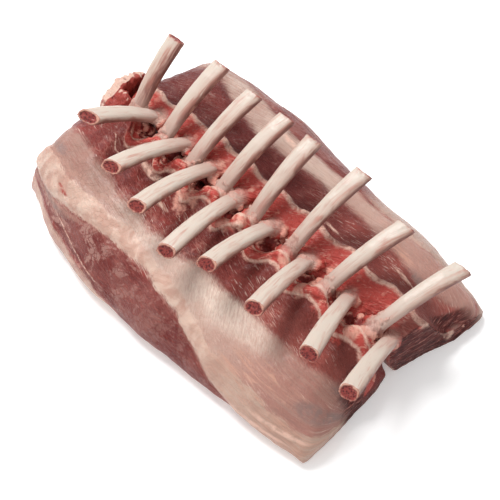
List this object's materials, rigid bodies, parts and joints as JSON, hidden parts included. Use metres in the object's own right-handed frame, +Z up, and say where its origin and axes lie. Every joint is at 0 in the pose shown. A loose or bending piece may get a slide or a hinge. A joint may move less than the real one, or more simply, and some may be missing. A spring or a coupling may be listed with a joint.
{
  "type": "rack of lamb",
  "caption": "Two frenched racks of lamb that lean on each other, meat sides out, with their bare rib bones laced across the ridge.",
  "frame": {"origin": "centre of the underside of the whole roast", "axes": "+X along the racks from the shoulder end to the loin end, +Y from the front rack to the back rack, +Z up"},
  "size_m": [0.2512, 0.1706, 0.0933],
  "materials": {
    "meat": "raw lamb, muted maroon muscle under pale fat and silverskin, moist",
    "bone": "scraped ivory bone with pink blushes and red marrow at the cut ends, moist"
  },
  "bodies": {
    "root": {"frontMeat": "meat", "backMeat": "meat", "frontRib1": "bone", "frontRib2": "bone", "frontRib3": "bone", "frontRib4": "bone", "frontRib5": "bone", "frontRib6": "bone", "frontRib7": "bone", "frontRib8": "bone", "backRib1": "bone", "backRib2": "bone", "backRib3": "bone", "backRib4": "bone", "backRib5": "bone", "backRib6": "bone", "backRib7": "bone", "backRib8": "bone"}
  },
  "joints": []
}
